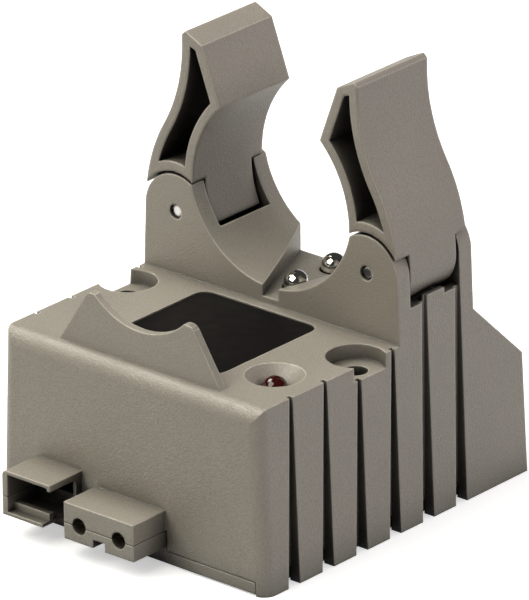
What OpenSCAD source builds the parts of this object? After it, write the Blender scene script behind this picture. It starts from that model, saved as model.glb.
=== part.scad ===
// Charging cradle for a hand-held duty flashlight.
// A moulded base carries two sprung clamp arms, a trough with two charging contacts,
// a charge lamp and a two-pole supply socket.
// Millimetres. X is the width, -Y the front with the plug block, +Z up.
// The origin is on the ground, under the middle of the whole cradle.

/* [Body] */
// Width across the base
body_w = 65; // [62:0.5:72]
// Depth of the body, without the plug block
body_d = 74.8; // [72:0.2:84]
// Height of the flat top face
top_z = 36.5; // [34:0.5:44]
// Inward lean of the ribbed sides, in degrees
side_draft = 2.33; // [1:0.01:3]
// Wall thickness of the housing
wall = 2.2; // [1.8:0.1:2.8]
// Rounding of the top front edge
front_edge_r = 3; // [1.5:0.1:3.6]
// Rounding of the upright front corners
corner_r = 2.6; // [1:0.1:4]
// Rounding of the top edges of the sides
side_edge_r = 1.6; // [0.6:0.1:2.2]
// Height of the upright part of the back wall
back_wall_h = 24; // [18:0.5:28]
// Inward lean of the back wall at its top
back_lean = 0.45; // [0.2:0.05:1]

/* [Side grooves] */
// Number of grooves down each side
groove_count = 6; // [4:1:8]
// Width of a groove at the ground
groove_w = 3.3; // [2:0.1:4.4]
// Width of a groove at its top
groove_top_w = 0.9; // [0.5:0.1:1.6]
// Depth of a groove at the ground
groove_depth = 2.4; // [2:0.1:3]

/* [Hinge ears] */
// From the front face of the body to the ears
ear_setback = 39.5; // [38:0.5:42]
// Depth of the ear block, over both ears
ear_d = 21.2; // [19:0.2:23]
// Thickness of one ear
ear_t = 3.5; // [2.6:0.1:4.2]
// Radius of the rounded ear tops
ear_r = 7.4; // [6.6:0.1:8.2]
// Height of the pivots above the top face
pin_rise = 12.4; // [11.6:0.1:14]
// Diameter of a pivot pin
pin_d = 2.6; // [2:0.1:3]
// Height of the outer wall between the ears, above the top face
sill_h = 6.3; // [5:0.1:7]
// How much higher the middle part of that wall is
sill_raise = 1.1; // [0.4:0.1:1.4]

/* [Trough] */
// Diameter of the barrel that lies in the trough
barrel_d = 39.4; // [37:0.2:42]
// Height of the lowest line of the trough above the top face
trough_lip = 3.4; // [2.8:0.1:4.4]
// Height of the contact floor above the top face
channel_rise = 1.2; // [0.8:0.1:2]
// Width of the contact channel at the front
channel_front_w = 3.8; // [2.6:0.1:6]
// Width of the contact channel at the back
channel_back_w = 21.5; // [18:0.5:24]

/* [Clamp arms] */
// Height of an arm above its pivot
arm_h = 36.6; // [32:0.2:42]
// From the front face of the ears to an arm
arm_front = 0.1; // [0:0.1:0.6]
// From an arm to the rear face of the ears
arm_rear = 1.3; // [0.3:0.1:2]
// Distance between the two grip ridges
ridge_gap = 24.2; // [22:0.2:28]
// Height of the grip ridges above the pivots
ridge_h = 23.3; // [22:0.1:25]
// Radius of the hollow under a grip ridge
grip_r = 22.5; // [21:0.5:24]
// Height of the middle of the hollow above the pivots
grip_rise = 7.1; // [6:0.1:8]
// How far the outer face steps in between pivot and top
arm_lean = 9.4; // [8:0.1:12]
// Thickness of an arm at its top
arm_top_w = 4.8; // [4.2:0.1:6.4]
// Fall of the top face towards the trough
arm_top_fall = 1.9; // [1.2:0.1:3]
// Wall around the core of an arm
arm_wall = 1.9; // [1.3:0.1:2.2]
// Thickness under the core of an arm
arm_floor = 1.9; // [1.4:0.1:2.6]
// Web that closes the core in the middle of an arm
arm_web = 1.6; // [1.2:0.1:3]

/* [Scoop ridge] */
// Width of the ridge at its foot
scoop_foot_w = 39; // [34:0.5:44]
// Height of the ridge above the top face
scoop_h = 10.9; // [9:0.1:13]
// Lean of the ends of the ridge, in degrees from the ground
scoop_lean = 57.8; // [50:0.2:66]
// Radius of the scoop
scoop_r = 15.5; // [13:0.5:18]
// Height of the bottom of the scoop above the top face
scoop_floor = 6.5; // [5:0.1:8]
// Thickness of the ridge
scoop_t = 1.6; // [1.2:0.1:2.4]
// Rounding of the two peaks
peak_r = 1.5; // [0.6:0.1:2]

/* [Plug block and shroud] */
// Reach of the plug block in front of the body
plug_reach = 8.9; // [7.6:0.1:11]
// Width of the plug block
plug_w = 16.9; // [15:0.1:19]
// Height of the top of the plug block
plug_top = 10.9; // [10:0.1:12]
// Height of the bottom of the plug block
plug_bottom = 3.6; // [3.2:0.1:4.4]
// Distance between the two plug holes
plug_pitch = 9.6; // [8.6:0.1:10.6]
// Diameter of the plug holes
plug_hole_d = 3.3; // [2.8:0.1:3.6]
// Width of the key slot under the plug block
key_w = 2.9; // [1.6:0.1:3.6]
// Height of the key slot
key_h = 1.7; // [1:0.1:2]
// Height of the joint between housing and cover at the plug block
split_z = 6.9; // [6.6:0.1:7.2]
// Left face of the shroud, from the middle of the body
shroud_left = 23.6; // [22:0.1:25]
// Width of the shroud
shroud_w = 11.7; // [10.6:0.1:12.6]
// Height of the top of the shroud
shroud_top = 13; // [12:0.1:15]
// Wall thickness of the shroud
shroud_wall = 1.2; // [1:0.1:1.5]
// Height of the underside of the shroud
shroud_bottom = 4.1; // [3.6:0.1:4.6]
// Thickness of its top, bottom and right wall
shroud_plate = 0.7; // [0.6:0.05:1]
// Height of the joint between its upper and lower half
shroud_split = 7.9; // [7.4:0.1:8.2]
// How much shorter its bottom is on the right
shroud_cutback = 1.9; // [1:0.1:3]
// Height of the window through which the cord passes the front wall
window_h = 2.4; // [1.8:0.1:3]
// Height of the rib that holds the cord
cord_rib_h = 1.4; // [0.6:0.1:1.8]

/* [Label recess] */
// Width of the label
label_w = 28; // [24:0.5:31]
// Depth of the label along Y
label_d = 28.7; // [24:0.5:30]
// From the front face of the body to the label
label_front = 8.3; // [7:0.1:9.5]
// Corner radius of the label
label_r = 2.6; // [1:0.1:4]
// Thickness of the label plate
label_t = 0.4; // [0.3:0.1:0.6]
// Depth of the recess for the label
label_recess = 0.7; // [0.6:0.1:1]

/* [Lamp] */
// Diameter of the lamp
lamp_d = 5; // [4.6:0.1:5.4]
// Lamp, from the side of the base
lamp_inset = 10.6; // [9.8:0.1:11.6]
// Lamp, from the front face of the body
lamp_back = 15.2; // [14:0.1:17]
// Height of the lamp with its rim
lamp_h = 7.9; // [7:0.1:8.8]
// Width of the rim round the foot of the lamp
lamp_rim_w = 0.4; // [0.3:0.05:0.6]
// Height of the rim
lamp_rim_t = 0.9; // [0.7:0.1:1.2]
// From the top face down to the top of the lamp
lamp_sunk = 0.3; // [0.1:0.1:0.8]
// Distance between the legs of the lamp
lead_pitch = 2.54; // [2:0.01:3]
// Width of a leg
lead_w = 0.5; // [0.4:0.05:0.6]
// Diameter of the conical seat at the top
lamp_seat_d = 11.2; // [9:0.1:12]
// Depth of the conical seat
lamp_seat_h = 2.9; // [2.2:0.1:3.4]

/* [Mounting screws] */
// Mounting holes, from the side of the base
mount_inset = 4.8; // [4.5:0.1:5.4]
// Mounting holes, from the front face of the body
mount_back = 31.1; // [29:0.1:32]
// Diameter of the mounting holes
mount_hole_d = 4.5; // [3.6:0.1:4.6]
// Diameter of the screw seats
mount_seat_d = 11.2; // [9:0.1:12]
// Depth of the screw seats
mount_seat_h = 2.9; // [2:0.1:3.6]

/* [Charging contacts] */
// Diameter of a contact head
contact_d = 4.9; // [4.2:0.1:5]
// From the front face of the ears to the first contact
contact_front = 7.4; // [6.6:0.1:8.4]
// Distance between the two contacts
contact_pitch = 10.7; // [9.8:0.1:11.6]
// How far a contact stands above the contact floor
contact_proud = 3.2; // [2.4:0.1:3.5]
// Travel of a contact
contact_travel = 1.4; // [1:0.1:2]
// Gap around a contact head in the floor
contact_ring = 0.3; // [0.2:0.05:0.5]

/* [Cover] */
// Thickness of the base cover
cover_t = 2.8; // [2.4:0.1:3.4]
// Height of the underside of the cover above the ground
cover_lift = 0.4; // [0.2:0.1:0.8]
// Diameter of the cover screws
cover_screw_d = 2.6; // [2.2:0.1:3]
// Length of the thread of the cover screws
cover_screw_l = 10; // [7:0.5:14]

/* [Circuit board] */
// Height of the underside of the board
board_z = 22.4; // [20:0.1:24]
// Thickness of the board
board_t = 1.6; // [1:0.1:2]
// Diameter of the small screws
small_screw_d = 2; // [1.6:0.1:2.4]
// Length of the small screws under the head
small_screw_l = 6; // [5:0.5:7]
// Length of the control chip
chip_l = 10; // [8:0.5:12]
// Width of the control chip
chip_w = 6.4; // [5:0.1:7.6]
// Height of the control chip
chip_h = 3; // [2:0.1:4]
// Distance between the legs of the chip
chip_pitch = 2.54; // [2:0.01:2.8]
// Width of the power transistor
transistor_w = 10; // [8:0.5:11]
// Length of the power transistor with its tab
transistor_l = 15; // [12:0.5:16]
// Height of the power transistor
transistor_h = 4.5; // [3:0.1:5]
// Diameter of the smoothing capacitor
capacitor_d = 8; // [6:0.5:9]
// Length of the smoothing capacitor
capacitor_l = 11; // [9:0.5:12.5]
// Diameter of the diode
diode_d = 2.8; // [2:0.1:3.6]
// Length of the diode
diode_l = 5.2; // [4:0.1:7]
// Diameter of a resistor
resistor_d = 2.4; // [1.6:0.1:3]
// Length of a resistor
resistor_l = 6.3; // [5:0.1:7.6]
// Distance between the resistors
resistor_pitch = 4.2; // [3.6:0.1:5]
// Diameter of the insulated wires
wire_d = 1.4; // [1:0.1:1.8]

/* [Springs] */
// Wire of the arm springs
arm_wire_d = 0.8; // [0.6:0.05:1]
// Number of turns of an arm spring
arm_turns = 5; // [3:1:5]
// Wire of the contact springs
contact_wire_d = 0.35; // [0.25:0.05:0.45]
// Number of turns of a contact spring
contact_turns = 7; // [5:1:9]

/* [Fits] */
// Gap between two mouldings that close on each other
seam = 0.15; // [0.1:0.05:0.25]
// Gap between the hinge tongue of an arm and the front ear
arm_gap = 0.3; // [0.25:0.05:0.4]
// Gap between the hinge tongue and the rear ear
tongue_gap = 0.9; // [0.3:0.1:1.2]
// Radial clearance of a running fit
run_fit = 0.05; // [0.02:0.01:0.1]

/* [Hidden] */
$fn = 64;
cut = 1;                                 // how far a cut runs past a face
front_y = plug_reach - (body_d + plug_reach) / 2;
back_y = front_y + body_d;
ear_y = front_y + ear_setback;
ear_back = ear_y + ear_d;
ear_mid = ear_y + ear_d / 2;
function side_x(z) = body_w / 2 - z * tan(side_draft);
pin_z = top_z + pin_rise;
pin_x = side_x(pin_z) - ear_r;
outer_x = pin_x + ear_r;
barrel_r = barrel_d / 2;
barrel_z = top_z + trough_lip + barrel_r;
channel_z = top_z + channel_rise;
groove_x = body_w / 2 - groove_depth;
skin = 1.9;                              // wall behind the grooves
cavity_x = groove_x - skin;
ceiling_z = top_z - wall;
inner_front = front_y + wall;
inner_back = back_y - wall;
groove_pitch = (ear_setback + ear_d - ear_t) / groove_count;
edge_bite = 0.02;                        // the rounding cuts this much into both faces
sill_z = top_z + sill_h;
sill_y = [for (k = [0.3, 0.68]) ear_y + ear_t + k * (ear_d - 2 * ear_t)];

// slope behind the ears
slope_lip = 0.6;                         // start of the slope above the top face
slope_top = [ear_back, top_z + slope_lip];
slope_end = [back_y - back_lean, back_wall_h];
function unit(v) = v / norm(v);
slope_dir = unit(slope_end - slope_top);
slope_in = wall * [slope_dir[1], -slope_dir[0]];
function along(p, d, axis, value) = p + d * (value - p[axis]) / d[axis];
slope_ceiling = along(slope_top + slope_in, slope_dir, 1, ceiling_z);
slope_back = along(slope_top + slope_in, slope_dir, 0, inner_back);

// clamp arm outline
arm_y = [ear_y + arm_front, ear_back - arm_rear];
tongue_y = [ear_y + ear_t + arm_gap, ear_back - ear_t - tongue_gap];
pocket_r = ear_r + 0.8;                  // room for the knuckle in the housing
heel_gap = 0.55;                         // mean gap between arm and ear tops
heel_shift = 0.15;                       // the gap grows towards the outer side
heel_r = ear_r + heel_gap;
head_rise = 4.3;                         // from the pivot to the lower end of the arm's head
heel_top = pin_z + head_rise;
top_straight = 2.6;                      // upright part of the outer face at the top
curve_h = arm_h - top_straight;
curve_r = (arm_lean * arm_lean + curve_h * curve_h) / (4 * arm_lean);
curve_mid = pin_z + curve_h / 2;
arm_top_x = outer_x - arm_lean;
tip = [ridge_gap / 2, pin_z + ridge_h];
grip_c = [tip[0] - sqrt(pow(grip_r, 2) - pow(ridge_h - grip_rise, 2)), pin_z + grip_rise];
brow = [arm_top_x - arm_top_w, pin_z + arm_h - arm_top_fall];
crown_r = 0.8;                           // corner at the outer top edge
crown = [arm_top_x - crown_r, pin_z + arm_h];
lead_dir = unit(brow - tip);
lead_in = [lead_dir[1], -lead_dir[0]];
roof_dir = unit(crown - brow);
roof_in = [roof_dir[1], -roof_dir[0]];
function meet(p, d, q, e) =
    p + d * ((q[0] - p[0]) * e[1] - (q[1] - p[1]) * e[0]) / (d[0] * e[1] - d[1] * e[0]);
spring_slot_w = 6.4;
spring_slot_r = 4.2;
toe_drop = 2;                            // from the pivot down to the toe of the hinge tongue
toe_r = 5.3;                             // from the pivot to the flat under the toe
toe_z = pin_z - toe_drop;
toe = [grip_c[0] + sqrt(pow(grip_r, 2) - pow(toe_z - grip_c[1], 2)), toe_z];
toe_arm = [pin_x, pin_z] - toe;
toe_angle = atan2(toe_arm[1], toe_arm[0]) - asin(toe_r / norm(toe_arm));

pin_cover = 0.8;                         // plastic left behind the blind end of a pin
pin_recess = 0.5;                        // from the face of the front ear to the pin's end

// contacts, from the top down
contact_y = [ear_y + contact_front, ear_y + contact_front + contact_pitch];
carrier_mid = (contact_y[0] + contact_y[1]) / 2;
carrier_edge = slope_top + slope_in * (1 + seam / wall);
contact_top = channel_z + contact_proud;
flange_r = contact_d / 2 + 0.6;
flange_t = 1;
stop_gap = 0.3;                          // play between a contact and its upper stop
flange_top = ceiling_z - stop_gap;
stem_r = 1.1;
stem_l = 3.6;
well_r = flange_r + run_fit;
carrier_wall = 1.4;
carrier_t = 11.6;
carrier_top = ceiling_z - seam;
carrier_z = carrier_top - carrier_t;
carrier_w = 9.6;
carrier_margin = well_r + carrier_wall;
terminal_t = 0.5;
touch = 0.05;                            // gap between a spring and what it bears on
well_floor = 1.4;
terminal_z = carrier_z + well_floor;
spring_z = terminal_z + terminal_t;
tail_w = 2;
tail_l = 4.4;
carrier_ear_w = 22.6;
carrier_ear_t = 2.4;
carrier_ear_d = 7;
carrier_post_h = 2.8;
carrier_post_x = 8.6;
carrier_post_r = 2.4;
carrier_post_z = ceiling_z - carrier_post_h;
carrier_screw_l = carrier_ear_t + carrier_post_h;

// mounting screws, lamp and label
mount_x = body_w / 2 - mount_inset;
mount_y = front_y + mount_back;
mount_boss_r = mount_hole_d / 2 + wall;
seat_z = top_z - mount_seat_h;
lamp_x = body_w / 2 - lamp_inset;
lamp_y = front_y + lamp_back;
lamp_bore = lamp_d / 2 + seam;
lamp_rim_r = lamp_d / 2 + lamp_rim_w;
lamp_top = top_z - lamp_sunk;
lamp_rim_z = lamp_top - lamp_h;
lamp_boss_r = lamp_bore + wall;
label_y = front_y + label_front + label_d / 2;

// cover
cover_x = groove_x - seam;
cover_boss_r = cover_screw_d / 2 + 1.7;
cover_boss_x = cavity_x - cover_boss_r;
cover_boss_y = [inner_front + cover_boss_r, inner_back - cover_boss_r];
cover_head_r = cover_screw_d;
cover_head_t = 1.3;
cover_screws_at = [for (s = [-1, 1], y = cover_boss_y) [s * cover_boss_x, y]];
tab_right = plug_w / 2;

// board
board_setback = 3;                       // from the board to the ears
board_back = ear_y - board_setback;
board_front = inner_front + 1.6;
board_x = lamp_x + 2.2;
board_notch = cover_boss_r * 2 + 1;
board_waist_x = mount_x - mount_boss_r - 1;
board_waist_y = mount_y - mount_boss_r - 1.4;
board_post_r = small_screw_d / 2 + 1.3;
board_post_x = 17.4;
board_post_in = [1.6, 4];                // from the corner notch, and from the rear edge
board_post_y = [board_front + board_notch + board_post_in[0], board_back - board_post_in[1]];
board_posts = [for (s = [-1, 1], y = board_post_y) [s * board_post_x, y]];
board_top = board_z + board_t;
small_head_r = small_screw_d * 0.95;
small_head_t = 1.1;
lead_end = 1.2;
part_edge = 1;                           // from the edge of the board to a component

// shroud
shroud_right = shroud_w - shroud_left;
shroud_in = [shroud_wall - shroud_left, shroud_right - shroud_plate];
shroud_r = 1;                            // outer top edge, and corners of the openings
shroud_lip = 1.25;                       // height of the lip above the side opening
shroud_strip = 1.7;                      // depth of the strip behind it
cord_rib_in = 1.9;                       // from the face of the shroud to the cord rib
cord_rib_y = front_y - plug_reach + cord_rib_in;
cord_rib_t = 1.2;

// sockets and wires
socket_r = plug_hole_d / 2 - run_fit;
socket_bore_r = socket_r - 0.45;
socket_sunk = 2.4;                       // from the face of the plug block to a socket
socket_front = front_y - plug_reach + socket_sunk;
socket_back = inner_front + 1;
socket_end = 1;
wire_r = wire_d / 2;
charge_wire_x = 2.6;                     // where the charging wires leave the board
pad_gap = 0.12;

body_colour = [0.60, 0.57, 0.53];
brass_colour = [0.80, 0.66, 0.36];
steel_colour = [0.78, 0.78, 0.80];

// ---- helpers ----

// Extrudes an outline drawn in X and Z from y0 to y1.
module along_y(y0, y1) {
    translate([0, y1, 0]) rotate([90, 0, 0]) linear_extrude(y1 - y0) children();
}

// Extrudes an outline drawn in Y and Z from x0 to x1.
module along_x(x0, x1) {
    translate([x0, 0, 0]) rotate([90, 0, 90]) linear_extrude(x1 - x0) children();
}

// A box from its lowest and highest corners.
module block(low, high) {
    translate(low) cube(high - low);
}

module upright(x, y, z0, z1, r) {
    translate([x, y, z0]) cylinder(r = r, h = z1 - z0);
}

module level(x, z, y0, y1, r) {
    translate([x, y1, z]) rotate([90, 0, 0]) cylinder(r = r, h = y1 - y0);
}

module round_rect(w, d, r) {
    square([w - 2 * r, d], center = true);
    square([w, d - 2 * r], center = true);
    for (x = [-1, 1], y = [-1, 1])
        translate([x * (w / 2 - r), y * (d / 2 - r)]) circle(r);
}

// A round wire along a list of points, as one closed skin.
function tangent(p, i) = unit(p[min(i + 1, len(p) - 1)] - p[max(i - 1, 0)]);
function side_of(t, up) = unit(cross(t, up));
module wire(points, r, up = [0, 1, 0], sides = 8) {
    n = len(points);
    rings = [for (i = [0:n - 1]) let (t = tangent(points, i), u = side_of(t, up), v = cross(t, u))
        for (k = [0:sides - 1]) let (a = 360 * k / sides)
            points[i] + r * (u * cos(a) + v * sin(a))];
    walls = [for (i = [0:n - 2], k = [0:sides - 1], half = [0, 1])
        let (m = (k + 1) % sides, a = i * sides, b = a + sides)
        half == 0 ? [a + k, a + m, b + m] : [a + k, b + m, b + k]];
    ends = [[for (k = [sides - 1:-1:0]) k], [for (k = [0:sides - 1]) (n - 1) * sides + k]];
    polyhedron(rings, concat(walls, ends));
}

// A smooth run of points through a few corners.
function bend(p, i, t) = let (a = p[max(i - 1, 0)], b = p[i], c = p[i + 1],
    d = p[min(i + 2, len(p) - 1)])
    b + t * (c - a) / 2 + t * t * (a - 2.5 * b + 2 * c - d / 2)
    + t * t * t * (-a / 2 + 1.5 * b - 1.5 * c + d / 2);
function smooth_run(p, steps) = concat(
    [for (i = [0:len(p) - 2], k = [0:steps - 1]) bend(p, i, k / steps)], [p[len(p) - 1]]);

// ---- housing ----

// Side view of the body without ears: rounded front edge, slope at the back.
module side_view() {
    r = front_edge_r;
    translate([front_y + r, top_z - r]) circle(r);
    polygon([[front_y, 0], [back_y, 0], slope_end, slope_top, [ear_back, top_z],
        [front_y + r, top_z], [front_y + r, top_z - r], [front_y, top_z - r]]);
}

// Plan with the right side and its rounded front corner.
module plan_view() {
    r = corner_r;
    translate([-body_w, front_y + r]) square([1.5 * body_w, body_d + cut]);
    translate([-body_w, front_y]) square([1.5 * body_w - r, body_d]);
    translate([body_w / 2 - r, front_y + r]) circle(r);
}

// The plan drawn up along the lean of the right side.
module leaning_block() {
    lift = 2 * body_w * tan(side_draft);
    translate([body_w / 2, 0, 0]) rotate([0, -side_draft, 0])
        translate([-body_w / 2, 0, -cut])
            linear_extrude(pin_z + ear_r + lift + 2 * cut) plan_view();
}

// What the rounding of the right top edge takes away, in X and Z.
module side_edge() {
    near = side_edge_r - edge_bite;
    c = [side_x(top_z - near) - near / cos(side_draft), top_z - near];
    on_side = c + side_edge_r * [cos(side_draft), sin(side_draft)];
    difference() {
        polygon([c, [c[0], top_z + cut], [on_side[0] + cut, top_z + cut],
            [on_side[0] + cut, on_side[1]], on_side]);
        translate(c) circle(side_edge_r);
    }
}

module body_block() {
    difference() {
        along_x(-body_w, body_w) side_view();
        along_y(front_y - cut, ear_y) side_edge();
        mirror([1, 0, 0]) along_y(front_y - cut, ear_y) side_edge();
    }
}

module ear_block() {
    along_y(ear_y, ear_back) {
        translate([-body_w, top_z / 2]) square([2 * body_w, pin_z - top_z / 2]);
        for (s = [-1, 1]) translate([s * pin_x, pin_z]) circle(ear_r);
    }
}

// The whole moulding from outside, without ridge, shroud and plug block.
module outer_form() {
    intersection() {
        leaning_block();
        mirror([1, 0, 0]) leaning_block();
        union() {
            body_block();
            ear_block();
        }
    }
}

// Outer part of the room between two ears, above height z.
module above_sill(s, y0, y1, z) {
    block([s > 0 ? pin_x : -body_w, y0, z], [s > 0 ? body_w : -pin_x, y1, pin_z + 2 * ear_r]);
}

// Room for the hinge tongue between two ears: the knuckle's circle and all above the sill.
module tongue_room() {
    y0 = ear_y + ear_t;
    y1 = ear_back - ear_t;
    for (s = [-1, 1]) {
        along_y(y0, y1) translate([s * pin_x, pin_z]) circle(pocket_r);
        above_sill(s, y0, y1, sill_z + sill_raise);
        above_sill(s, y0, sill_y[0], sill_z);
        above_sill(s, sill_y[1], y1, sill_z);
    }
}

// Trough for the barrel, with the contact channel that widens towards the back.
module trough() {
    level(0, barrel_z, ear_y - cut, ear_back + cut, barrel_r);
    slope = (channel_back_w - channel_front_w) / 2 / ear_d;
    front_w = channel_front_w / 2 - slope * cut;
    back_w = channel_back_w / 2 + slope * cut;
    translate([0, 0, channel_z]) linear_extrude(barrel_r / 2)
        polygon([[-front_w, ear_y - cut], [front_w, ear_y - cut],
            [back_w, ear_back + cut], [-back_w, ear_back + cut]]);
}

// Wedge-shaped grooves down both sides; the last one ends at the rear ear.
module side_grooves() {
    for (k = [1:groove_count]) {
        rear = front_y + k * groove_pitch;
        top = rear > ear_y + ear_t + groove_pitch / 4 ? pin_z + ear_r : top_z;
        for (s = [-1, 1]) along_x(s > 0 ? groove_x : -body_w, s > 0 ? body_w : -groove_x)
            polygon([[rear, -cut], [rear, top + cut], [rear - groove_top_w, top + cut],
                [rear - groove_w, -cut]]);
    }
}

module scoop_ridge() {
    lean = [cos(scoop_lean), -sin(scoop_lean)];
    top_w = scoop_foot_w / 2 - scoop_h / tan(scoop_lean);
    peak = [top_w, top_z + scoop_h];
    trim = peak_r * tan((90 - scoop_lean / 2) / 2);
    foot = along(peak, lean, 1, top_z - wall / 2);
    shoulder = peak + trim * lean;
    y = front_y + front_edge_r;
    along_y(y, y + scoop_t) difference() {
        union() {
            polygon([[-foot[0], foot[1]], foot, shoulder, peak - [trim, 0],
                [trim - peak[0], peak[1]], [-shoulder[0], shoulder[1]]]);
            for (s = [-1, 1]) translate([s * (peak[0] - trim), peak[1] - peak_r])
                circle(peak_r);
        }
        translate([0, top_z + scoop_floor + scoop_r]) circle(scoop_r);
    }
}

// The two halves of the plug block; each is cut from this outline.
module plug_outline() {
    translate([-plug_w / 2, plug_bottom]) square([plug_w, plug_top - plug_bottom]);
}

module plug_holes() {
    for (s = [-1, 1])
        level(s * plug_pitch / 2, split_z, front_y - plug_reach - cut, socket_back + cut,
            plug_hole_d / 2);
}

// A rectangle in X and Z from p to q with its upper corner rounded on side s.
module round_corner(p, q, r, s) {
    size = q - p;
    translate(p) square([size[0], size[1] - r]);
    translate(p + [s < 0 ? r : 0, 0]) square([size[0] - r, size[1]]);
    translate([s < 0 ? p[0] + r : q[0] - r, q[1] - r]) circle(r);
}

module shroud_outline() {
    difference() {
        round_corner([-shroud_left, shroud_bottom], [shroud_right, shroud_top], shroud_r, -1);
        translate([shroud_in[0], shroud_bottom + shroud_plate])
            square([shroud_in[1] - shroud_in[0], shroud_top - shroud_bottom - 2 * shroud_plate]);
    }
}

module shroud_upper() {
    front = front_y - plug_reach;
    difference() {
        along_y(front, inner_front) intersection() {
            shroud_outline();
            translate([-body_w / 2, shroud_split]) square([body_w, body_w]);
        }
        // the side towards the plug block is open up to the lip and back to the strip
        along_x(shroud_in[1] - shroud_plate, shroud_right + cut) round_corner([front - cut, 0],
            [front_y - shroud_strip, shroud_top - shroud_lip], shroud_r, 1);
    }
}

// Opening in the front wall between the shroud and the inside.
module cord_window() {
    along_y(front_y - cut, inner_front + cut) round_corner([shroud_in[0], shroud_split - cut],
        [shroud_in[1], shroud_split + window_h], shroud_r, 1);
}

module plug_upper() {
    along_y(front_y - plug_reach, inner_front) intersection() {
        plug_outline();
        translate([-body_w / 2, split_z]) square([body_w, body_w]);
    }
}

// Places where the cover's tab and plug block close the front wall.
module tab_opening() {
    front = front_y - plug_reach - cut;
    block([-shroud_left - seam, front, -cut],
        [shroud_right + seam, inner_front + cut, shroud_split]);
    block([-shroud_left - seam, front, -cut], [tab_right + seam, inner_front + cut, split_z]);
}

module cavity() {
    along_x(-cavity_x, cavity_x) polygon([[inner_front, -cut], [inner_front, ceiling_z],
        slope_ceiling, slope_back, [inner_back, -cut]]);
    // cores under the ears
    core_in = channel_back_w / 2 + wall;
    for (s = [-1, 1])
        block([s > 0 ? core_in : -cavity_x, ear_y + wall, board_z],
            [s > 0 ? cavity_x : -core_in, ear_back - wall - slope_lip,
                pin_z - pocket_r - wall]);
}

// Solid columns that stay in the cavity.
module columns() {
    for (s = [-1, 1]) {
        upright(s * mount_x, mount_y, -cut, top_z, mount_boss_r);
        upright(s * mount_x, mount_y, seat_z - wall, top_z, mount_seat_d / 2 + wall / 2);
        upright(s * carrier_post_x, carrier_mid, carrier_post_z, top_z, carrier_post_r);
    }
    for (p = cover_screws_at) upright(p[0], p[1], cover_t + seam, top_z, cover_boss_r);
    for (p = board_posts) upright(p[0], p[1], board_top, top_z, board_post_r);
    upright(lamp_x, lamp_y, lamp_rim_z + lamp_rim_t + seam, top_z, lamp_boss_r);
    upright(lamp_x, lamp_y, top_z - lamp_seat_h - wall / 2, top_z, lamp_seat_d / 2);
}

// Ledge all round the bottom, in which the cover lies; it is open at the front.
module cover_rebate() {
    block([-groove_x, front_y - cut, -cut], [groove_x, inner_back + wall / 2, cover_t]);
}

module drillings() {
    for (s = [-1, 1]) {
        upright(s * mount_x, mount_y, -cut, top_z, mount_hole_d / 2);
        upright(s * mount_x, mount_y, seat_z, top_z + cut, mount_seat_d / 2);
        upright(s * carrier_post_x, carrier_mid, carrier_post_z - cut,
            carrier_post_z + carrier_screw_l - carrier_ear_t, small_screw_d / 2);
    }
    for (p = cover_screws_at)
        upright(p[0], p[1], cover_t, cover_t + cover_screw_l + cut, cover_screw_d / 2);
    for (p = board_posts)
        upright(p[0], p[1], board_top - cut, board_z + small_screw_l + cut, small_screw_d / 2);
    for (y = contact_y) {
        upright(0, y, ceiling_z - cut, channel_z + cut, contact_d / 2 + contact_ring);
        upright(0, y, flange_top - flange_t - contact_travel - stop_gap, ceiling_z,
            flange_r + stop_gap);
    }
    upright(lamp_x, lamp_y, lamp_rim_z, top_z, lamp_bore);
    translate([lamp_x, lamp_y, top_z - lamp_seat_h]) rotate_extrude()
        polygon([[0, 0], [lamp_bore, 0], [lamp_seat_d / 2, lamp_seat_h],
            [lamp_seat_d / 2, lamp_seat_h + cut], [0, lamp_seat_h + cut]]);
    for (s = [-1, 1]) level(s * pin_x, pin_z, ear_y - cut, ear_y + ear_t + cut,
        pin_d / 2 + seam);
    for (s = [-1, 1]) level(s * pin_x, pin_z, ear_back - ear_t - cut, ear_back - pin_cover,
        pin_d / 2);
}

module housing() {
    color(body_colour) difference() {
        union() {
            difference() {
                union() {
                    outer_form();
                    scoop_ridge();
                }
                side_grooves();
                difference() {
                    cavity();
                    columns();
                }
                cover_rebate_clear();
                tab_opening();
            }
            plug_upper();
            shroud_upper();
        }
        trough();
        tongue_room();
        drillings();
        plug_holes();
        // recess for the label
        translate([0, label_y, top_z - label_recess]) linear_extrude(label_recess + cut)
            round_rect(label_w + 2 * seam, label_d + 2 * seam, label_r + seam);
        cord_window();
    }
}

// The rebate leaves the bosses of the mounting screws standing.
module cover_rebate_clear() {
    difference() {
        cover_rebate();
        for (s = [-1, 1]) upright(s * mount_x, mount_y, -cut, cover_t + cut, mount_boss_r);
    }
}

// ---- base cover ----

module cover_plate() {
    difference() {
        block([-cover_x, front_y, cover_lift],
            [cover_x, inner_back + wall / 2 - seam, cover_t - seam]);
        for (s = [-1, 1])
            upright(s * mount_x, mount_y, 0, cover_t + cut, mount_boss_r + seam);
        for (p = cover_screws_at) {
            upright(p[0], p[1], 0, cover_t + cut, cover_screw_d / 2 + seam);
            upright(p[0], p[1], 0, cover_lift + cover_head_t + seam, cover_head_r + seam);
        }
    }
}

module plug_lower() {
    // upright tab that closes the front wall under the joint
    block([-shroud_left, front_y, cover_t - 1], [tab_right, inner_front, split_z - seam]);
    along_y(front_y - plug_reach, front_y + 1) intersection() {
        difference() {
            plug_outline();
            translate([-key_w / 2, plug_bottom - cut]) square([key_w, key_h + cut]);
        }
        translate([-body_w / 2, 0]) square([body_w, split_z - seam]);
    }
}

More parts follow.
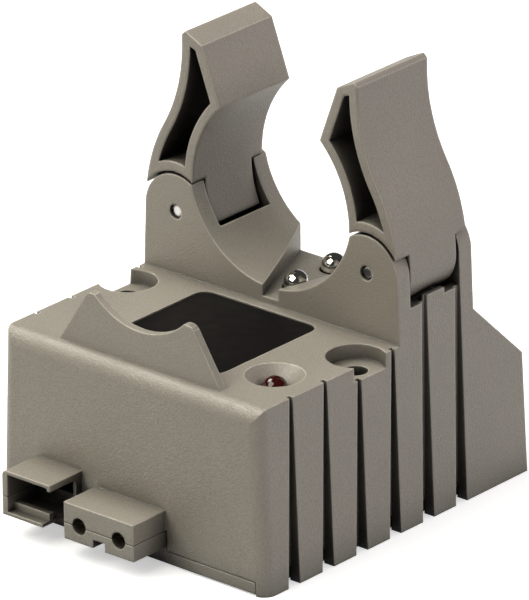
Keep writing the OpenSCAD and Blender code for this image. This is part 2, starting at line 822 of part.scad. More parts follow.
module shroud_lower() {
    front = front_y - plug_reach;
    foot_right = shroud_right - shroud_cutback;
    block([-shroud_left, front_y, cover_t - 1], [shroud_right, inner_front, shroud_split - seam]);
    difference() {
        along_y(front, front_y + 1) intersection() {
            shroud_outline();
            translate([-body_w / 2, 0]) square([body_w, shroud_split - seam]);
        }
        block([foot_right, front - cut, 0],
            [shroud_right + cut, front_y - shroud_strip, shroud_split + cut]);
    }
    // rib under the cord
    block([shroud_in[0] - shroud_plate, cord_rib_y, shroud_bottom],
        [foot_right, cord_rib_y + cord_rib_t, shroud_bottom + shroud_plate + cord_rib_h]);
}

module base_cover() {
    color(body_colour * 0.96) difference() {
        union() {
            cover_plate();
            plug_lower();
            shroud_lower();
        }
        plug_holes();
    }
}

// ---- clamp arms ----

// Height at which the outer face of an arm, drawn in by inset, turns from bulging to hollow.
function turn_z(inset) = curve_mid - inset * curve_h / 2 / curve_r;

// Lower half of an arm in X and Z, drawn in by inset all round.
module arm_foot(inset) {
    difference() {
        intersection() {
            translate([outer_x - curve_r, pin_z]) circle(curve_r - inset, $fn = 180);
            translate([0, pin_z]) square([body_w, turn_z(inset) - pin_z]);
        }
        translate(grip_c) circle(grip_r + inset, $fn = 180);
    }
}

// Upper half of an arm, from the same height up to the top.
module arm_blade(inset) {
    lead_p = tip + lead_in * inset;
    roof_p = brow + roof_in * inset;
    edge_x = arm_top_x - inset;
    difference() {
        polygon([along(lead_p, lead_dir, 1, turn_z(inset)),
            meet(lead_p, lead_dir, roof_p, roof_dir),
            meet(roof_p, roof_dir, [edge_x - crown_r, 0], [0, 1]),
            [edge_x, crown[1] - crown_r - inset],
            [edge_x, pin_z + curve_h],
            [outer_x, turn_z(inset)]]);
        translate([arm_top_x + curve_r, pin_z + curve_h]) circle(curve_r + inset, $fn = 180);
        translate(grip_c) circle(grip_r + inset, $fn = 180);
    }
}

// Lower half of the hinge knuckle in X and Z, cut off flat under its toe.
module knuckle() {
    difference() {
        intersection() {
            translate([pin_x, pin_z]) circle(ear_r);
            translate([0, pin_z - 2 * ear_r]) square([body_w, 2 * ear_r]);
        }
        translate(grip_c) circle(grip_r, $fn = 180);
        translate(toe) rotate(toe_angle) translate([-ear_r, -2 * ear_r])
            square([4 * ear_r, 2 * ear_r]);
    }
}

// Everything under the head: the circle over the ears and all that hangs below it.
module under_head(r) {
    translate([pin_x + heel_shift, pin_z]) circle(r);
    translate([0, pin_z - 2 * ear_r]) square([body_w, heel_top - pin_z + 2 * ear_r]);
}

// Core of an arm from y0 to y1.
module arm_core(y0, y1) {
    along_y(y0, y1) difference() {
        arm_foot(arm_wall);
        under_head(heel_r + arm_floor);
    }
    along_y(y0, y1) arm_blade(arm_wall);
}

module clamp_arm() {
    difference() {
        union() {
            along_y(arm_y[0], arm_y[1]) arm_foot(0);
            along_y(arm_y[0], arm_y[1]) arm_blade(0);
            along_y(tongue_y[0], tongue_y[1]) knuckle();
        }
        along_y(arm_y[0] - cut, tongue_y[0]) under_head(heel_r);
        along_y(tongue_y[1], arm_y[1] + cut) under_head(heel_r);
        arm_core(arm_y[0] - cut, ear_mid - arm_web / 2);
        arm_core(ear_mid + arm_web / 2, arm_y[1] + cut);
        level(pin_x, pin_z, arm_y[0], arm_y[1], pin_d / 2 + run_fit);
        // room for the torsion spring, open downwards
        along_y(ear_mid - spring_slot_w / 2, ear_mid + spring_slot_w / 2) {
            translate([pin_x, pin_z]) circle(spring_slot_r);
            translate([pin_x - spring_slot_r, pin_z - pocket_r])
                square([2 * spring_slot_r, pocket_r]);
        }
    }
}

module arm_right() {
    color(body_colour) clamp_arm();
}

module arm_left() {
    color(body_colour) mirror([1, 0, 0]) clamp_arm();
}

module pin_at(s) {
    color(steel_colour) level(s * pin_x, pin_z, ear_y + pin_recess, ear_back - pin_cover, pin_d / 2);
}

// Torsion spring round a pin: one leg bears on the arm, one on the housing.
module arm_spring() {
    r = pin_d / 2 + arm_wire_d / 2 + 0.7;
    pitch = arm_wire_d * 1.18;
    steps = 12;
    y0 = ear_mid - arm_turns * pitch / 2;
    turn0 = 150;
    coil = [for (i = [0:arm_turns * steps]) let (a = turn0 + 360 * i / steps)
        [pin_x + r * cos(a), y0 + pitch * i / steps, pin_z + r * sin(a)]];
    leg = [for (k = [2, 1]) [pin_x + r * cos(turn0) + k * 1.1 * sin(turn0),
        y0, pin_z + r * sin(turn0) - k * 1.1 * cos(turn0)]];
    foot = [for (k = [1, 2]) coil[len(coil) - 1] + k * [-1.2 * sin(turn0), 0, 1.2 * cos(turn0)]];
    color(steel_colour) wire(concat(leg, coil, foot), arm_wire_d / 2, [0, 1, 0], 6);
}

// ---- charging contacts ----

module plunger(y) {
    r = contact_d / 2;
    color(steel_colour) translate([0, y, 0]) {
        translate([0, 0, contact_top - r]) intersection() {
            sphere(r, $fn = 96);
            translate([-r, -r, 0]) cube(2 * r);
        }
        translate([0, 0, flange_top]) cylinder(r = r, h = contact_top - r - flange_top);
        translate([0, 0, flange_top - flange_t]) cylinder(r = flange_r, h = flange_t);
        translate([0, 0, flange_top - flange_t - stem_l]) cylinder(r = stem_r, h = stem_l);
    }
}

module contact_spring(y) {
    r = stem_r + contact_wire_d / 2 + 0.35;
    steps = 10;
    low = spring_z + contact_wire_d / 2 + touch;
    high = flange_top - flange_t - contact_wire_d / 2 - touch;
    n = contact_turns * steps;
    color(steel_colour) wire([for (i = [0:n]) let (a = 360 * i / steps)
        [r * cos(a), y + r * sin(a), low + (high - low) * i / n]],
        contact_wire_d / 2, [0, 0, 1], 6);
}

module contact_carrier() {
    low_y = contact_y[0] - carrier_margin;
    high_y = contact_y[1] + carrier_margin;
    ear_z = carrier_post_z - seam;
    color([0.16, 0.16, 0.17]) difference() {
        union() {
            // its rear edge follows the slope behind the ears
            intersection() {
                block([-carrier_w / 2, low_y, carrier_z], [carrier_w / 2, high_y, carrier_top]);
                along_x(-carrier_w, carrier_w) polygon([[low_y, carrier_z - cut],
                    [low_y, carrier_top + cut],
                    along(carrier_edge, slope_dir, 1, carrier_top + cut),
                    along(carrier_edge, slope_dir, 1, carrier_z - cut)]);
            }
            block([-carrier_ear_w / 2, carrier_mid - carrier_ear_d / 2, ear_z - carrier_ear_t],
                [carrier_ear_w / 2, carrier_mid + carrier_ear_d / 2, ear_z]);
        }
        for (y = contact_y) {
            upright(0, y, terminal_z, carrier_top + cut, well_r);
            block([-tail_w / 2 - seam, y - terminal_t / 2 - seam, carrier_z - cut],
                [tail_w / 2 + seam, y + terminal_t / 2 + seam, terminal_z + cut]);
        }
        for (s = [-1, 1]) upright(s * carrier_post_x, carrier_mid, ear_z - carrier_ear_t - cut,
            ear_z + cut, small_screw_d / 2 + seam);
    }
}

module terminal(y) {
    color(brass_colour) {
        upright(0, y, terminal_z, spring_z, well_r - run_fit);
        block([-tail_w / 2, y - terminal_t / 2, terminal_z - tail_l],
            [tail_w / 2, y + terminal_t / 2, terminal_z]);
    }
}

// A cross-head screw that points up, with its head's underside at z.
module screw_up(x, y, z, d, l, head_r, head_t) {
    difference() {
        union() {
            upright(x, y, z, z + l, d / 2);
            upright(x, y, z - head_t, z, head_r);
        }
        for (a = [0, 90]) translate([x, y, z - head_t]) rotate([0, 0, a])
            cube([head_r * 1.2, head_r * 0.28, head_t], center = true);
    }
}

module carrier_screws() {
    z = carrier_post_z - seam - carrier_ear_t;
    color(steel_colour) for (s = [-1, 1])
        screw_up(s * carrier_post_x, carrier_mid, z, small_screw_d, carrier_screw_l - seam,
            small_head_r, small_head_t);
}

// ---- lamp and label ----

module charge_lamp() {
    r = lamp_d / 2;
    color([0.55, 0.05, 0.05]) translate([lamp_x, lamp_y, 0]) {
        translate([0, 0, lamp_top - r]) intersection() {
            sphere(r, $fn = 96);
            translate([-r, -r, 0]) cube(2 * r);
        }
        translate([0, 0, lamp_rim_z]) cylinder(r = r, h = lamp_top - r - lamp_rim_z);
        translate([0, 0, lamp_rim_z]) cylinder(r = lamp_rim_r, h = lamp_rim_t);
    }
}

module lamp_leads() {
    color(steel_colour) for (s = [-1, 1])
        block([lamp_x + s * lead_pitch / 2 - lead_w / 2, lamp_y - lead_w / 2, board_z - lead_end],
            [lamp_x + s * lead_pitch / 2 + lead_w / 2, lamp_y + lead_w / 2, lamp_rim_z]);
}

module label_plate() {
    color([0.05, 0.05, 0.05]) translate([0, label_y, top_z - label_recess])
        linear_extrude(label_t) round_rect(label_w, label_d, label_r);
}

// ---- circuit ----

module circuit_board() {
    color([0.10, 0.35, 0.20]) difference() {
        translate([0, 0, board_z]) linear_extrude(board_t) difference() {
            polygon([[-board_x, board_front], [board_x, board_front],
                [board_x, board_waist_y], [board_waist_x, board_waist_y],
                [board_waist_x, board_back], [-board_waist_x, board_back],
                [-board_waist_x, board_waist_y], [-board_x, board_waist_y]]);
            for (s = [-1, 1]) translate([s * board_x, board_front])
                square(2 * board_notch, center = true);
        }
        for (p = board_posts)
            upright(p[0], p[1], board_z - cut, board_top + cut, small_screw_d / 2 + seam);
        for (s = [-1, 1])
            upright(lamp_x + s * lead_pitch / 2, lamp_y, board_z - cut, board_top + cut, lead_w);
    }
}

module control_chip() {
    y = board_front + board_notch + resistor_pitch / 2;
    leg = [lead_w, chip_w / 6, chip_h / 2];
    color([0.08, 0.08, 0.09]) {
        translate([-chip_l / 2, y, board_z - seam - chip_h]) cube([chip_l, chip_w, chip_h]);
        for (i = [-1.5:1.5], s = [-1, 1])
            translate([i * chip_pitch - lead_w / 2, y + chip_w / 2 + s * chip_w * 0.55 - leg[1] / 2,
                board_z - touch - leg[2]]) cube(leg);
    }
}

// Body and mounting tab of the transistor, lying on its back.
module power_transistor() {
    x = board_post_x - board_post_r - seam - transistor_w;
    y = board_back - part_edge - transistor_l;
    body_l = transistor_l * 0.6;
    color([0.12, 0.12, 0.13]) {
        block([x, y, board_z - seam - transistor_h], [x + transistor_w, y + body_l, board_z - seam]);
        block([x, y + body_l, board_z - seam - transistor_h * 0.3],
            [x + transistor_w, y + transistor_l, board_z - seam]);
    }
}

module smoothing_capacitor() {
    r = capacitor_d / 2;
    x = board_post_r + small_head_r + r - board_post_x;
    y = board_back - part_edge;
    color([0.12, 0.16, 0.30]) level(x, board_z - seam - r, y - capacitor_l, y, r);
}

// A round component on the underside of the board, with its leads, starting at x.
module axial_part(x, y, d, l, lead_l, lead_d) {
    translate([x, y, board_z - seam - d / 2]) rotate([0, 90, 0]) {
        cylinder(r = d / 2, h = l);
        translate([0, 0, -lead_l]) cylinder(r = lead_d / 2, h = l + 2 * lead_l);
    }
}

module supply_diode() {
    color([0.10, 0.10, 0.10]) axial_part(-plug_pitch / 2 - diode_d - diode_l,
        board_front + diode_d * 1.5, diode_d, diode_l, diode_d * 0.7, lead_w * 1.5);
}

module resistors() {
    color([0.72, 0.60, 0.42]) for (i = [0:2])
        axial_part(plug_pitch / 2 + resistor_d * 1.3, board_front + (i + 1.2) * resistor_pitch,
            resistor_d, resistor_l, resistor_d * 0.75, lead_w);
}

module board_screws() {
    color(steel_colour) for (p = board_posts)
        screw_up(p[0], p[1], board_z, small_screw_d, small_screw_l, small_head_r, small_head_t);
}

module socket(s) {
    color(brass_colour) difference() {
        level(s * plug_pitch / 2, split_z, socket_front, socket_back, socket_r);
        level(s * plug_pitch / 2, split_z, socket_front - cut, socket_back - socket_end,
            socket_bore_r);
    }
}

module supply_wire(s) {
    x = s * plug_pitch / 2;
    top = socket_back + 4.5 * wire_d;
    wire(smooth_run([[x, socket_back + pad_gap, split_z], [x, socket_back + 1.5 * wire_d, split_z],
        [x, socket_back + 4 * wire_d, split_z + 3 * wire_d], [x, top, board_z - 2 * wire_d],
        [x, top, board_z - pad_gap]], 4), wire_r, [1, 0, 0]);
}

module charge_wire(s, y) {
    tail = terminal_z - tail_l - pad_gap;
    x = s * charge_wire_x;
    start = board_back - 2 * wire_d - part_edge;
    wire(smooth_run([[x, start, board_z - pad_gap], [x, start, board_z - 2 * wire_d],
        [x, start + 2 * wire_d, tail - 3 * wire_d], [x / 2, y - wire_d, tail - 2.5 * wire_d],
        [0, y, tail - wire_d], [0, y, tail]], 3), wire_r, [1, 0, 0]);
}

module cover_screws() {
    color(steel_colour) for (p = cover_screws_at)
        screw_up(p[0], p[1], cover_lift + cover_head_t + seam, cover_screw_d, cover_screw_l,
            cover_head_r, cover_head_t);
}

housing();
base_cover();
arm_left();
arm_right();
pin_at(-1);  // pin_left
pin_at(1);  // pin_right
mirror([1, 0, 0]) arm_spring();  // arm_spring_left
arm_spring();  // arm_spring_right
plunger(contact_y[0]);  // contact_front
plunger(contact_y[1]);  // contact_rear
contact_spring(contact_y[0]);  // contact_spring_front
contact_spring(contact_y[1]);  // contact_spring_rear
contact_carrier();
terminal(contact_y[0]);  // terminal_front
terminal(contact_y[1]);  // terminal_rear
carrier_screws();
charge_lamp();
lamp_leads();
label_plate();
circuit_board();
control_chip();
power_transistor();
smoothing_capacitor();
supply_diode();
resistors();
board_screws();
socket(-1);  // socket_left
socket(1);  // socket_right
color([0.6, 0.1, 0.1]) supply_wire(1);  // supply_wire_red
color([0.1, 0.1, 0.1]) supply_wire(-1);  // supply_wire_black
color([0.6, 0.1, 0.1]) charge_wire(1, contact_y[0]);  // charge_wire_red
color([0.1, 0.1, 0.1]) charge_wire(-1, contact_y[1]);  // charge_wire_black
cover_screws();
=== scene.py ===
"""Looks for the charging cradle: materials, contact springs, floor, lamps and camera."""

import math

import bpy
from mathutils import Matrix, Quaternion, Vector


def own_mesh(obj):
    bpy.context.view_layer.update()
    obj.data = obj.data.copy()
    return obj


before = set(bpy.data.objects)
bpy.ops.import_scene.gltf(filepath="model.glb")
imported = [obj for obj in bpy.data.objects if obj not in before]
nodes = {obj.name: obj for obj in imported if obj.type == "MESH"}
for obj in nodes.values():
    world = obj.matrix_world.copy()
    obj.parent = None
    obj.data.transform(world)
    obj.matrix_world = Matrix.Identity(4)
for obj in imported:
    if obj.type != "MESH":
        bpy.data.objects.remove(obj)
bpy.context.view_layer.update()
MM = 0.001
WHITE = (1.0, 1.0, 1.0, 1.0)

# ---- shader nodes ----


def new_material(name):
    material = bpy.data.materials.new(name)
    material.use_nodes = True
    tree = material.node_tree
    tree.nodes.clear()
    out = tree.nodes.new("ShaderNodeOutputMaterial")
    shader = tree.nodes.new("ShaderNodeBsdfPrincipled")
    tree.links.new(shader.outputs[0], out.inputs[0])
    return material, tree, shader


def feed(tree, socket, value):
    """Links another node's output to the socket, or sets it to a plain value."""
    if isinstance(value, bpy.types.NodeSocket):
        tree.links.new(value, socket)
    else:
        socket.default_value = value


def add(tree, kind, inputs=None, **settings):
    node = tree.nodes.new("ShaderNode" + kind)
    for key, value in settings.items():
        setattr(node, key, value)
    for key, value in (inputs or {}).items():
        feed(tree, node.inputs[key], value)
    return node


def object_coords(tree):
    return add(tree, "TexCoord").outputs["Object"]


def noise(tree, coords, scale, detail=2.0, rough=0.5):
    node = add(tree, "TexNoise",
               {"Vector": coords, "Scale": scale, "Detail": detail, "Roughness": rough})
    return node.outputs["Fac"]


def remap(tree, value, low, high, to_low, to_high):
    node = add(tree, "MapRange", {"Value": value, "From Min": low, "From Max": high,
                                  "To Min": to_low, "To Max": to_high})
    return node.outputs["Result"]


def math_node(tree, operation, a, b):
    return add(tree, "Math", {0: a, 1: b}, operation=operation).outputs[0]


def mix_colour(tree, factor, a, b):
    # an RGBA Mix node has its factor at socket 0, its colours at 6 and 7, and its result at 2
    return add(tree, "Mix", {0: factor, 6: a, 7: b}, data_type="RGBA").outputs[2]


def openness(tree, reach, samples):
    """1 on an open surface, towards 0 in corners and pockets, looking as far as reach."""
    return add(tree, "AmbientOcclusion", {"Distance": reach}, samples=samples).outputs["AO"]


def bevel(tree, radius, samples):
    """The normal as it would be with the edges rounded to this radius."""
    return add(tree, "Bevel", {"Radius": radius}, samples=samples).outputs[0]


def linear(r, g, b):
    """sRGB 0-255 to linear."""
    def one(c):
        c /= 255
        return c / 12.92 if c <= 0.04045 else ((c + 0.055) / 1.055) ** 2.4
    return (one(r), one(g), one(b), 1.0)


def scaled(colour, factor, lift=0.0):
    return tuple(min(1.0, c * factor + lift) for c in colour[:3]) + (1.0,)


# ---- materials ----

NEAR_REACH, NEAR_SAMPLES = 1.2 * MM, 6      # inner corners and seams
DEEP_REACH, DEEP_SAMPLES = 12 * MM, 8       # pockets, holes and the gaps between the ribs
EDGE_SAMPLES, CROWN_SAMPLES = 5, 6
HIGHLIGHT_LINE_RADIUS = 0.38 * MM                     # the thin painted highlight along an outer edge
GRAIN_HEIGHT = 0.13 * MM                    # eroded grain of the moulded plastic
SMOOTH_HEIGHT = 0.02 * MM                   # faint unevenness of metal, film and coatings
# noise scales, in cells per metre
CLOUD, GRAIN, SPECK = 45.0, 2600.0, 2900.0
METAL_BROAD, METAL_FINE = 300.0, 3000.0
GLOSS_BROAD, GLOSS_FINE = 220.0, 1800.0
SWIRL = 500.0


def moulded(name, colour, roughness=0.34, edge=0.6 * MM, pocket_shade=(0.27, 0.65), wear_and_highlight=1.0):
    """Fine grained moulded plastic: eroded grain, faint flow clouding, pale outer edges that are
    partly worn and partly a painted highlight, and painted shade in corners, pockets and gaps.

    edge is how wide the rounded outer edges look, hollow the openness at which the painted
    shade in a pocket is darkest and at which it stops, and wear how strongly the outer edges
    are painted pale, as rubbing and as a painted highlight.
    """
    material, tree, shader = new_material(name)
    coords = object_coords(tree)
    cloud = noise(tree, coords, CLOUD, 3.0, 0.55)
    fine = noise(tree, coords, GRAIN, rough=0.65)
    speck = noise(tree, coords, SPECK, rough=0.6)
    true_normal = add(tree, "NewGeometry").outputs["True Normal"]

    def corner(radius, full):
        """The rounded normal, and 0 to 1 for how far it bends from the face, 1 at full."""
        bent = bevel(tree, radius, EDGE_SAMPLES)
        facing = add(tree, "VectorMath", {0: bent, 1: true_normal}, operation="DOT_PRODUCT")
        return bent, remap(tree, facing.outputs["Value"], 0.99, full, 0.0, 1.0)

    # clouding and specks
    base = mix_colour(tree, remap(tree, cloud, 0.35, 0.65, 0.0, 1.0),
                      scaled(colour, 0.97), scaled(colour, 1.05))
    base = mix_colour(tree, remap(tree, speck, 0.40, 0.66, 0.0, 1.0), base, scaled(colour, 0.84))

    # outer edges are painted pale, partly as rubbing and partly as a painted highlight; a thin
    # painted highlight runs along them, stronger where they face up towards the light
    near = openness(tree, NEAR_REACH, NEAR_SAMPLES)
    outer = remap(tree, near, 0.72, 0.92, 0.0, 1.0)
    rounded, broad_edge = corner(edge, 0.86)
    thin_normal, thin_edge = corner(HIGHLIGHT_LINE_RADIUS, 0.92)
    rubbed_and_highlit = math_node(tree, "MULTIPLY", broad_edge,
                       remap(tree, cloud, 0.3, 0.6, 0.15 * wear_and_highlight, 0.35 * wear_and_highlight))
    base = mix_colour(tree, math_node(tree, "MULTIPLY", rubbed_and_highlit, outer), base,
                      scaled(colour, 1.35, 0.02))
    # painted highlight: the thin edge highlight is drawn brighter where the edge faces up
    lit_from_above = remap(tree, add(tree, "SeparateXYZ", {0: thin_normal}).outputs["Z"],
                   -0.3, 0.6, 0.4, 1.0)
    highlight_line = math_node(tree, "MULTIPLY", thin_edge,
                     remap(tree, speck, 0.3, 0.6, 0.6 * wear_and_highlight, 1.0 * wear_and_highlight))
    base = mix_colour(tree, math_node(tree, "MULTIPLY", highlight_line,
                                      math_node(tree, "MULTIPLY", outer, lit_from_above)),
                      base, scaled(colour, 2.1, 0.12))

    # painted shade: inner corners and seams are drawn darker, where little light reaches
    base = mix_colour(tree, remap(tree, near, 0.30, 0.62, 0.8, 0.0), base, scaled(colour, 0.10))
    deep = openness(tree, DEEP_REACH, DEEP_SAMPLES)
    # painted shade, mild: faces near walls and in wide recesses are drawn a little darker
    base = mix_colour(tree, remap(tree, deep, 0.55, 0.9, 0.30, 0.0), base, scaled(colour, 0.45))
    # painted shade, strong: deep pockets and gaps are drawn nearly black
    base = mix_colour(tree, remap(tree, deep, pocket_shade[0], pocket_shade[1], 0.96, 0.0), base,
                      scaled(colour, 0.05))

    feed(tree, shader.inputs["Base Color"], base)
    feed(tree, shader.inputs["Roughness"],
         remap(tree, speck, 0.3, 0.7, roughness - 0.08, roughness + 0.10))
    shader.inputs["Specular IOR Level"].default_value = 0.75
    bump = add(tree, "Bump", {"Strength": 1.0, "Distance": GRAIN_HEIGHT, "Height": fine,
                              "Normal": rounded})
    feed(tree, shader.inputs["Normal"], bump.outputs[0])
    return material


def metal(name, colour, roughness, brushed=0.0, crown=0.0):
    """Bare or plated metal; crown is how far in from its rim an end face is rounded."""
    material, tree, shader = new_material(name)
    coords = object_coords(tree)
    stretch = add(tree, "Mapping",
                  {"Vector": coords, "Scale": (1.0, 1.0, 6.0 if brushed else 1.0)})
    fine = noise(tree, stretch.outputs[0], METAL_FINE)
    broad = noise(tree, coords, METAL_BROAD)
    base = mix_colour(tree, remap(tree, broad, 0.35, 0.65, 0.0, 0.6), colour, scaled(colour, 0.9))
    near = openness(tree, NEAR_REACH, NEAR_SAMPLES)
    # painted shade: the metal is drawn darker in its inner corners and seams
    base = mix_colour(tree, remap(tree, near, 0.45, 0.85, 0.85, 0.0), base, scaled(colour, 0.08))
    feed(tree, shader.inputs["Base Color"], base)
    shader.inputs["Metallic"].default_value = 1.0
    feed(tree, shader.inputs["Roughness"],
         remap(tree, broad, 0.3, 0.7, roughness * 0.8, roughness * 1.3))
    bump = add(tree, "Bump", {"Strength": 0.05 + 0.2 * brushed, "Distance": SMOOTH_HEIGHT,
                              "Height": fine})
    if crown:
        feed(tree, bump.inputs["Normal"], bevel(tree, crown, CROWN_SAMPLES))
    feed(tree, shader.inputs["Normal"], bump.outputs[0])
    return material


def glossy(name, colour, roughness=0.25, coat=0.0, grain=0.1, specular=0.5):
    """Smooth film, sleeve or coating, slightly uneven in colour and gloss."""
    material, tree, shader = new_material(name)
    coords = object_coords(tree)
    broad = noise(tree, coords, GLOSS_BROAD, 3.0)
    fine = noise(tree, coords, GLOSS_FINE)
    feed(tree, shader.inputs["Base Color"],
         mix_colour(tree, remap(tree, broad, 0.35, 0.65, 0.0, 0.7), colour, scaled(colour, 0.85)))
    feed(tree, shader.inputs["Roughness"],
         remap(tree, broad, 0.3, 0.7, roughness * 0.85, roughness * 1.25))
    shader.inputs["Coat Weight"].default_value = coat
    shader.inputs["Specular IOR Level"].default_value = specular
    bump = add(tree, "Bump", {"Strength": grain, "Distance": SMOOTH_HEIGHT, "Height": fine})
    feed(tree, shader.inputs["Normal"], bump.outputs[0])
    return material


def lens(name, colour):
    """Deep red see-through lamp body."""
    material, tree, shader = new_material(name)
    swirl = noise(tree, object_coords(tree), SWIRL)
    feed(tree, shader.inputs["Base Color"],
         mix_colour(tree, remap(tree, swirl, 0.35, 0.65, 0.0, 1.0), colour, scaled(colour, 0.7)))
    feed(tree, shader.inputs["Roughness"], remap(tree, swirl, 0.3, 0.7, 0.05, 0.10))
    shader.inputs["IOR"].default_value = 1.5
    shader.inputs["Transmission Weight"].default_value = 0.35
    shader.inputs["Coat Weight"].default_value = 0.5
    shader.inputs["Coat Roughness"].default_value = 0.04
    return material


LOOKS = [
    (moulded("housing_plastic", linear(161, 154, 142)), ["housing", "base_cover"]),
    (moulded("arm_plastic", linear(160, 152, 141), edge=0.85 * MM, pocket_shade=(0.32, 0.66)),
     ["arm_left", "arm_right"]),
    (metal("bright_steel", (0.70, 0.69, 0.68, 1.0), 0.2, 0.4, 1.0 * MM),
     ["pin_left", "pin_right", "lamp_leads"]),
    (metal("spring_steel", (0.55, 0.55, 0.57, 1.0), 0.35, 0.4),
     ["arm_spring_left", "arm_spring_right", "contact_spring_front", "contact_spring_rear"]),
    (metal("contact_plating", (0.86, 0.84, 0.80, 1.0), 0.08), ["contact_front", "contact_rear"]),
    (moulded("black_plastic", (0.02, 0.02, 0.022, 1.0), edge=0.2 * MM, wear_and_highlight=0.3),
     ["contact_carrier"]),
    (metal("terminal_brass", (0.78, 0.58, 0.28, 1.0), 0.28, 0.4),
     ["terminal_front", "terminal_rear", "socket_left", "socket_right"]),
    (metal("screw_steel", (0.55, 0.55, 0.57, 1.0), 0.3, 0.4),
     ["carrier_screws", "board_screws", "cover_screws"]),
    (lens("red_lamp", (0.065, 0.004, 0.004, 1.0)), ["charge_lamp"]),
    (glossy("label_film", (0.006, 0.005, 0.005, 1.0), 0.42, grain=0.3, specular=0.12),
     ["label_plate"]),
    (glossy("board_laminate", (0.02, 0.11, 0.05, 1.0), 0.35, 0.2, 0.2), ["circuit_board"]),
    (moulded("chip_case", (0.015, 0.015, 0.016, 1.0), 0.5, edge=0.2 * MM, wear_and_highlight=0.2),
     ["control_chip", "power_transistor", "supply_diode"]),
    (glossy("capacitor_sleeve", (0.02, 0.03, 0.09, 1.0), 0.25, 0.2), ["smoothing_capacitor"]),
    (glossy("resistor_coat", (0.45, 0.30, 0.16, 1.0), 0.35), ["resistors"]),
    (glossy("red_insulation", (0.35, 0.02, 0.015, 1.0), 0.35),
     ["supply_wire_red", "charge_wire_red"]),
    (glossy("black_insulation", (0.012, 0.012, 0.012, 1.0), 0.35),
     ["supply_wire_black", "charge_wire_black"]),
]
for look, names in LOOKS:
    for name in names:
        slots = nodes[name].data.materials
        slots.clear()
        slots.append(look)

# ---- contact springs ----

# each contact spring gets a mesh of its own
for end in ("front", "rear"):
    spring = nodes["contact_spring_" + end]
    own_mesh(spring)

# ---- floor, backdrop and light ----

AMBIENT = 0.11              # light from all round
FLOOR_SIZE = 6.0
FLOOR_BOUNCE = 0.18         # how pale the floor is as a source of light on the object
FLOOR_PALE = 0.9            # how pale it looks
FADE_FROM, FADE_TO = 0.15, 0.6      # metres out over which the floor takes over from the lamps
AIM = Vector((0, 0, 40 * MM))       # the lamps point at the middle of the cradle


def seen_ray(tree, mirrored=False):
    """1 for what the camera sees directly, through the lamp or, if asked, in a gloss; else 0."""
    paths = add(tree, "LightPath")
    seen = math_node(tree, "MAXIMUM", paths.outputs["Is Camera Ray"],
                     paths.outputs["Is Transmission Ray"])
    if mirrored:
        seen = math_node(tree, "MAXIMUM", seen, paths.outputs["Is Glossy Ray"])
    return seen


def studio_floor():
    """Pale floor that keeps the shadow; it throws only a little light back up at the object."""
    bpy.ops.mesh.primitive_plane_add(size=FLOOR_SIZE, location=(0, 0, 0))
    floor = bpy.context.object
    floor.name = "floor"
    material, tree, shader = new_material("studio_floor")
    feed(tree, shader.inputs["Base Color"],
         mix_colour(tree, seen_ray(tree, mirrored=True),
                    (FLOOR_BOUNCE,) * 3 + (1.0,), (FLOOR_PALE,) * 3 + (1.0,)))
    shader.inputs["Roughness"].default_value = 0.8
    shader.inputs["Specular IOR Level"].default_value = 0.2
    shader.inputs["Emission Color"].default_value = WHITE
    # further out the lamps fade, so there the floor makes up for it and stays white
    away = add(tree, "VectorMath", {0: add(tree, "NewGeometry").outputs["Position"]},
               operation="LENGTH")
    glow = remap(tree, away.outputs["Value"], FADE_FROM, FADE_TO, 0.5, 1.0)
    feed(tree, shader.inputs["Emission Strength"],
         math_node(tree, "MULTIPLY", seen_ray(tree), glow))
    floor.data.materials.append(material)


def studio_world():
    """White for the camera; in gloss white low down and dim above; soft even light as a lamp."""
    world = bpy.data.worlds.new("studio")
    bpy.context.scene.world = world
    world.use_nodes = True
    tree = world.node_tree
    tree.nodes.clear()
    out = add(tree, "OutputWorld")
    way = add(tree, "SeparateXYZ", {0: add(tree, "TexCoord").outputs["Generated"]})
    sweep = remap(tree, way.outputs["Z"], 0.08, 0.2, 1.0, 0.04)
    soft = add(tree, "Background", {"Color": WHITE, "Strength": AMBIENT})
    mirrored = add(tree, "Background", {"Color": WHITE, "Strength": sweep})
    white = add(tree, "Background", {"Color": WHITE, "Strength": 1.0})
    gloss = add(tree, "LightPath").outputs["Is Glossy Ray"]
    light = add(tree, "MixShader", {0: gloss, 1: soft.outputs[0], 2: mirrored.outputs[0]})
    both = add(tree, "MixShader", {0: seen_ray(tree), 1: light.outputs[0], 2: white.outputs[0]})
    feed(tree, out.inputs[0], both.outputs[0])


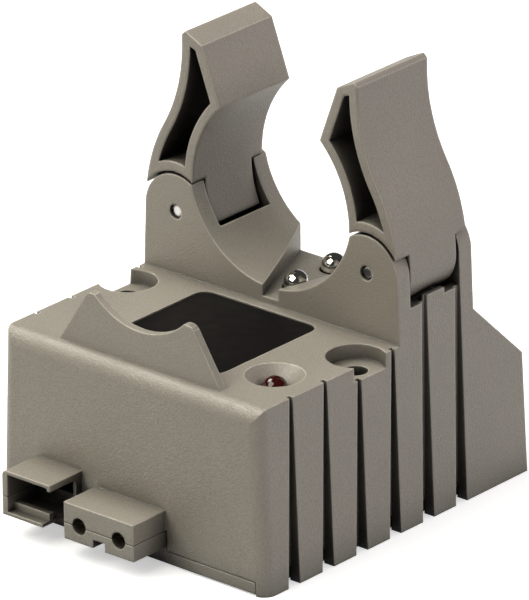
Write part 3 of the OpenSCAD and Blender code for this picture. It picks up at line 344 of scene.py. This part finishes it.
def softbox(name, direction, distance, side, level, colour=(1.0, 1.0, 1.0), glint=False):
    """Area light; level is how bright a white face turned to it becomes, glint shows it in gloss."""
    place = Vector(direction).normalized() * distance
    light = bpy.data.lights.new(name, "AREA")
    light.shape = "RECTANGLE"
    light.size = light.size_y = side
    light.energy = level * (math.pi * distance) ** 2
    light.color = colour
    lamp = bpy.data.objects.new(name, light)
    bpy.context.collection.objects.link(lamp)
    lamp.visible_glossy = glint
    lamp.location = place + AIM
    lamp.rotation_euler = (-place).to_track_quat("-Z", "Y").to_euler()


studio_floor()
studio_world()
softbox("overhead", (0.0, 0.1, 1.0), 1.1, 0.7, 0.19)
softbox("key", (-0.22, -0.61, 0.76), 0.55, 0.42, 0.73, (1.0, 0.98, 0.88), glint=True)
softbox("right_fill", (0.90, 0.09, 0.40), 0.6, 0.16, 0.255, (1.0, 0.96, 1.0))
softbox("left_light", (-0.62, -0.05, 0.78), 0.7, 0.3, 0.47, (1.0, 0.985, 0.92), glint=True)
softbox("rear_fill", (0.35, 0.9, 0.3), 1.2, 0.5, 0.28)

# ---- camera, where the photograph was taken from ----

AZIMUTH, ELEVATION, ROLL = 40.898, 22.967, -0.5     # degrees
DISTANCE = 1.6696
TARGET = Vector((-6.01, 11.79, 34.01)) * MM
SENSOR_HEIGHT, LENS = 36.0, 540.0                   # millimetres
FAR_CLIP = 20.0
az, el = math.radians(AZIMUTH), math.radians(ELEVATION)
back = Vector((math.sin(az) * math.cos(el), -math.cos(az) * math.cos(el), math.sin(el)))
camera = bpy.data.objects.new("camera", bpy.data.cameras.new("camera"))
bpy.context.collection.objects.link(camera)
camera.data.sensor_fit = "VERTICAL"
camera.data.sensor_height = SENSOR_HEIGHT
camera.data.lens = LENS
camera.data.clip_end = FAR_CLIP
camera.location = TARGET + back * DISTANCE
turn = (-back).to_track_quat("-Z", "Y")
camera.rotation_mode = "QUATERNION"
camera.rotation_quaternion = turn @ Quaternion((0, 0, 1), math.radians(ROLL))
bpy.context.scene.camera = camera
bpy.context.scene.view_settings.view_transform = "Standard"
